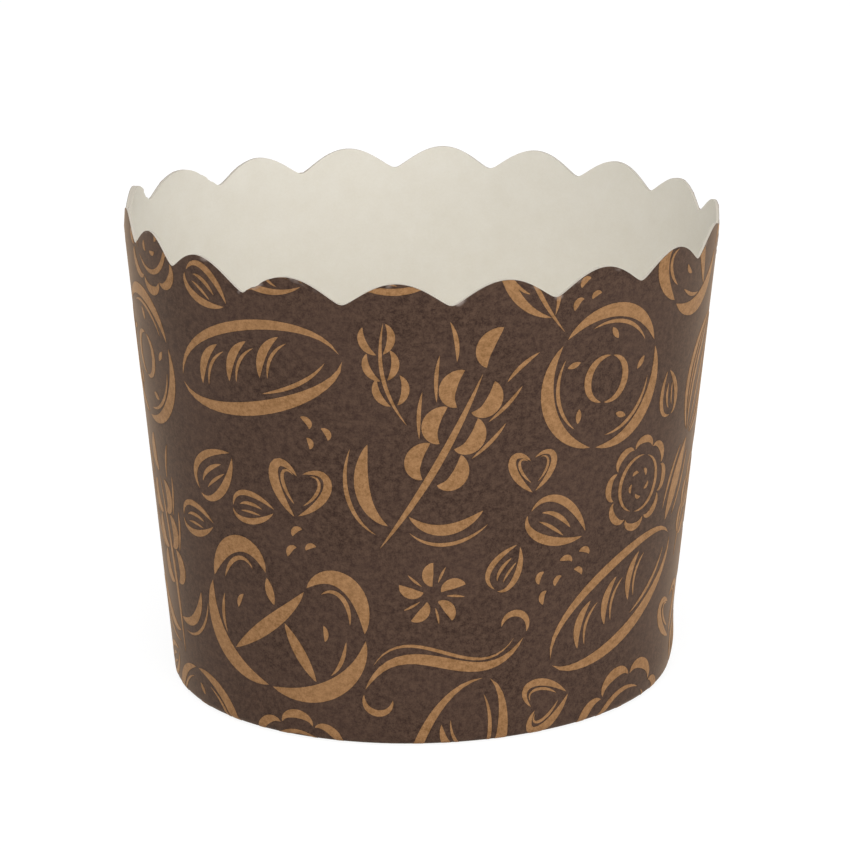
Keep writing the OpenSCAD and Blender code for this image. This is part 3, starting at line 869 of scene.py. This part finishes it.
def flat_print():
    """All strokes as curves on the flat sheet, whose middle radius is the one that it was drawn for."""
    low = FOOT_R + FIELD_GAP
    high = CUP_H - SCALLOP_H - FIELD_GAP
    curve = bpy.data.curves.new("flat_print", "CURVE")
    curve.dimensions = "3D"
    for motif, direction, share, turn, size in LAYOUT:
        middle = low + share * (high - low)
        for stroke in motif():
            placed = turned(stroke, turn)
            points = []
            for x, y in placed[:4]:
                up = middle + size * y * (high - low) / DRAWN_H
                wider = DRAWN_R / (FOOT_D / 2 + up * math.tan(SLOPE))
                points.append(Vector((math.radians(direction) * DRAWN_R + size * x * wider, up, 0)) * MM)
            spline = curve.splines.new("BEZIER")
            spline.bezier_points.add(1)
            spline.resolution_u = CURVE_STEPS
            first, last = spline.bezier_points
            for end in (first, last):
                end.handle_left_type = end.handle_right_type = "FREE"
                end.radius = size * placed[4] * MM
            first.co, first.handle_left, first.handle_right = points[0], points[0], points[1]
            last.co, last.handle_left, last.handle_right = points[3], points[2], points[3]
    return curve


def linear(code):
    """A colour written as sRGB hex, as the linear values that shaders take."""
    values = [int(code[i:i + 2], 16) / 255 for i in (1, 3, 5)]
    return [v / 12.92 if v <= 0.04045 else ((v + 0.055) / 1.055) ** 2.4 for v in values] + [1]


def bare_tree(owner):
    """The node tree of a new material or world, emptied."""
    owner.use_nodes = True
    owner.node_tree.nodes.clear()
    return owner.node_tree


def layered(tree, base, layers):
    """A base colour with others laid over it, each by its share."""
    colour = linear(base)
    for share, over in layers:
        mix = add(tree, "ShaderNodeMix", {0: share, 6: colour, 7: linear(over)}, data_type="RGBA")
        colour = mix.outputs[2]
    return colour


# Noise seldom leaves this span, and the paper's felt is this high in millimetres
NOISE_SPAN = (0.35, 0.65)
FELT_H = 0.02


def greaseproof_paper(name, colour, shade):
    """Bleached greaseproof paper off the calender: matt and slightly cloudy, with a fine felt of
    fibres that softens its highlights. Its die-cut edge is painted a shade darker, as painted shade
    that keeps the edge's upward-facing top, which catches more light, at the tone of the inside."""
    material = bpy.data.materials.new(name)
    tree = bare_tree(material)
    paper = add(tree, "ShaderNodeAttribute", attribute_name="paper").outputs["Vector"]
    # Cloudy formation, a few millimetres across
    clouds = add(tree, "ShaderNodeTexNoise",
                 {"Vector": paper, "Scale": 1 / (4 * MM), "Detail": 4.0, "Roughness": 0.75})
    # Fibres, drawn 0.3 mm wide so that they show
    fibres = add(tree, "ShaderNodeTexNoise", {"Vector": paper, "Scale": 1 / (0.3 * MM), "Detail": 4.0})
    both = add(tree, "ShaderNodeMix", {0: 0.3, 2: clouds, 3: fibres})
    spread = add(tree, MAP_RANGE, (both, *NOISE_SPAN, 0.0, 1.0))
    # The cut edge is where the way to the rim runs out. There the paper is darkened as painted shade,
    # since the edge's upward-facing top catches more light than the inside
    gap = add(tree, "ShaderNodeAttribute", attribute_name="rim_gap").outputs["Fac"]
    painted_edge_shade = add(tree, MAP_RANGE, (gap, 0.0, 0.02 * MM, 1.0, 0.0))
    felt = add(tree, "ShaderNodeBump", {"Strength": 0.3, "Distance": FELT_H * MM, "Height": fibres})
    # The cut edge's painted shade is laid over the cloudy paper here
    shader = add(tree, "ShaderNodeBsdfPrincipled", {
        "Base Color": layered(tree, shade, ((spread, colour), (painted_edge_shade, "#b6afa3"))),
        "Normal": felt,
        "Roughness": 0.7,
        "IOR": 1.45,
    })
    add(tree, "ShaderNodeOutputMaterial", (shader,))
    return material


def flexo_ink(name, deep, cloud, pale, wear):
    """Water-based flexographic ink on uncoated paper: matt, because it sinks in, softly clouded, and
    grainy where the felt takes it unevenly. It is rubbed pale along the die-cut rim. Loose fibre ends,
    stained by the ink, catch the light at grazing angles as a warm sheen."""
    material = bpy.data.materials.new(name)
    tree = bare_tree(material)
    paper = add(tree, "ShaderNodeAttribute", attribute_name="paper").outputs["Vector"]
    # Grain from 0.9 mm down to 0.1 mm, which is as fine as shows, over clouds of 9 mm
    grain = add(tree, "ShaderNodeTexNoise",
                {"Vector": paper, "Scale": 1 / (0.9 * MM), "Detail": 3.0, "Roughness": 1.0})
    clouds = add(tree, "ShaderNodeTexNoise", {"Vector": paper, "Scale": 1 / (9 * MM), "Detail": 2.0})
    cloud_share = add(tree, MAP_RANGE, (clouds, *NOISE_SPAN, 0.0, 1.0))
    grain_share = add(tree, MAP_RANGE, (grain, 0.37, 0.63, 0.0, 1.0))
    # Scuffs along the cut edge, half a millimetre deep, in patches of 2.5 mm
    gap = add(tree, "ShaderNodeAttribute", attribute_name="rim_gap").outputs["Fac"]
    edge = add(tree, MAP_RANGE, (gap, 0.1 * MM, 0.5 * MM, 1.0, 0.0))
    patches = add(tree, "ShaderNodeTexNoise", {"Vector": paper, "Scale": 1 / (2.5 * MM)})
    rubbed = add(tree, MAP_RANGE, (patches, 0.58, 0.66, 0.0, wear))
    scuff = add(tree, MATH, (edge, rubbed), operation="MULTIPLY")
    layers = ((cloud_share, cloud), (grain_share, pale), (scuff, "#a89a92"))
    rough = add(tree, MAP_RANGE, (grain, 0.3, 0.7, 0.6, 0.75))
    felt = add(tree, "ShaderNodeBump", {"Strength": 0.35, "Distance": FELT_H * MM, "Height": grain})
    shader = add(tree, "ShaderNodeBsdfPrincipled", {
        "Base Color": layered(tree, deep, layers),
        "Normal": felt,
        "Roughness": rough,
        "IOR": 1.45,
        "Specular IOR Level": 0.12,
        "Sheen Weight": 0.36,
        "Sheen Roughness": 0.32,
        "Sheen Tint": linear("#ffddb8"),
    })
    add(tree, "ShaderNodeOutputMaterial", (shader,))
    return material


def dress():
    """The four pieces, each listed with the CAD node that it stands for and that node's material slot.
    """
    rim = scallop_rim()
    roll = roll_paper()
    sheet = sheet_tree(rim, roll)
    white = greaseproof_paper("bleached_greaseproof_paper", "#e4e0d6", "#dfdace")
    disc_paper = greaseproof_paper("bleached_base_paper", "#e3dfd6", "#dcd7cd")
    brown = flexo_ink("brown_flexo_ink", "#34241d", "#3f2e27", "#574337", 0.6)
    tan = flexo_ink("tan_flexo_ink", "#805c38", "#886441", "#a47b54", 0.35)
    ground_low = INK_GAP
    motif_low = INK_GAP + INK_T + INK_GAP
    return [
        ("side_wall", "white_paper", made_piece("wrapped_wall", sheet, white, -WALL_T * MM)),
        ("base_disc", "base_paper", made_piece(
            "pressed_base", disc_tree(), disc_paper, DISC_LOW.z - DISC_HIGH.z)),
        ("printed_ground", "brown_print", made_piece(
            "brown_ground", sheet, brown, INK_T * MM, Outside=ground_low * MM,
            First_turn=LAP_TURN, First_share=(HEM_ROWS + CORNER_ROWS / 2) / ROWS)),
        ("printed_motifs", "tan_print", made_piece(
            "tan_motifs", print_tree(rim, roll), tan, INK_T * MM, flat_print(),
            Outside=motif_low * MM)),
    ]


for node, slot, piece in dress():
    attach(piece, "root")
    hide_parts(node)


# The stage: a white sweep that keeps a soft shadow, broad soft light and the camera, in metres, watts
# and radians
FLOOR_SIDE = 6
FLOOR_GLOW = 0.86
AIR_LIGHT = 0.51
CUP_MIDDLE = Vector((0, 0, 0.03))
SOFT_BOXES = [
    ("overhead", (0.05, -0.1, 1.1), 0.9, 3.3),
    ("front", (0, -0.95, 0.85), 0.8, 7.2),
    ("key", (0.95, -0.5, 0.15), 0.5, 2.1),
    ("right", (0.9, -0.4, 0.6), 0.6, 0.9),
    ("left", (-0.8, -0.45, 0.6), 0.6, 0.5),
]
EYE = (0, -0.4422, 0.16)
LOOK_DOWN = 0.2875
LOOK_RIGHT = 0.00172
ROLL = 0.0113
LENS_MM = 164.1
SENSOR_MM = 36


def seen_directly(tree):
    """1 for what the camera sees, straight or in gloss or through glass."""
    path = add(tree, "ShaderNodeLightPath").outputs
    gloss = add(tree, MATH, (path["Is Camera Ray"], path["Is Glossy Ray"]),
                operation="MAXIMUM")
    return add(tree, MATH, (gloss, path["Is Transmission Ray"]), operation="MAXIMUM")


def white_floor():
    """A wide white floor, mostly glowing for the camera so that only the cup's soft shadow shows."""
    bpy.ops.mesh.primitive_plane_add(size=FLOOR_SIDE, location=(0, 0, -0.01 * MM))
    floor = bpy.context.active_object
    floor.name = "floor"
    material = bpy.data.materials.new("white_sweep")
    tree = bare_tree(material)
    seen = seen_directly(tree)
    matt = add(tree, "ShaderNodeMix", {0: seen, 6: (0.8, 0.8, 0.8, 1), 7: (0.2, 0.2, 0.2, 1)},
               data_type="RGBA")
    glow = add(tree, MATH, (seen, FLOOR_GLOW), operation="MULTIPLY")
    both = add(tree, "ShaderNodeAddShader",
               (add(tree, "ShaderNodeBsdfDiffuse", (matt.outputs[2],)),
                add(tree, "ShaderNodeEmission", {"Strength": glow})))
    add(tree, "ShaderNodeOutputMaterial", (both,))
    floor.data.materials.append(material)


def studio_air():
    """Even light from all round, seen as white."""
    world = bpy.data.worlds.new("studio_air")
    tree = bare_tree(world)
    level = add(tree, MAP_RANGE, (seen_directly(tree), 0.0, 1.0, AIR_LIGHT, 1.0))
    add(tree, "ShaderNodeOutputWorld",
        (add(tree, "ShaderNodeBackground", {"Color": (1, 1, 1, 1), "Strength": level}),))
    bpy.context.scene.world = world


def soft_box(name, place, side, watts):
    """A square soft box that faces the middle of the cup."""
    light = bpy.data.lights.new(name, "AREA")
    light.size = side
    light.energy = watts
    box = bpy.data.objects.new(name, light)
    box.location = place
    box.rotation_euler = (CUP_MIDDLE - Vector(place)).to_track_quat("-Z", "Y").to_euler()
    bpy.context.scene.collection.objects.link(box)


def camera():
    """The photograph's viewpoint: a long lens that looks down a little."""
    lens = bpy.data.cameras.new("camera")
    lens.sensor_width = SENSOR_MM
    lens.lens = LENS_MM
    lens.clip_start = 0.01
    eye = bpy.data.objects.new("camera", lens)
    eye.location = EYE
    level = Euler((math.pi / 2 - LOOK_DOWN, 0, -LOOK_RIGHT)).to_matrix()
    eye.rotation_euler = (level @ Matrix.Rotation(-ROLL, 3, "Z")).to_euler()
    bpy.context.scene.collection.objects.link(eye)
    bpy.context.scene.camera = eye


white_floor()
studio_air()
for box in SOFT_BOXES:
    soft_box(*box)
camera()
bpy.context.scene.view_settings.view_transform = "Standard"
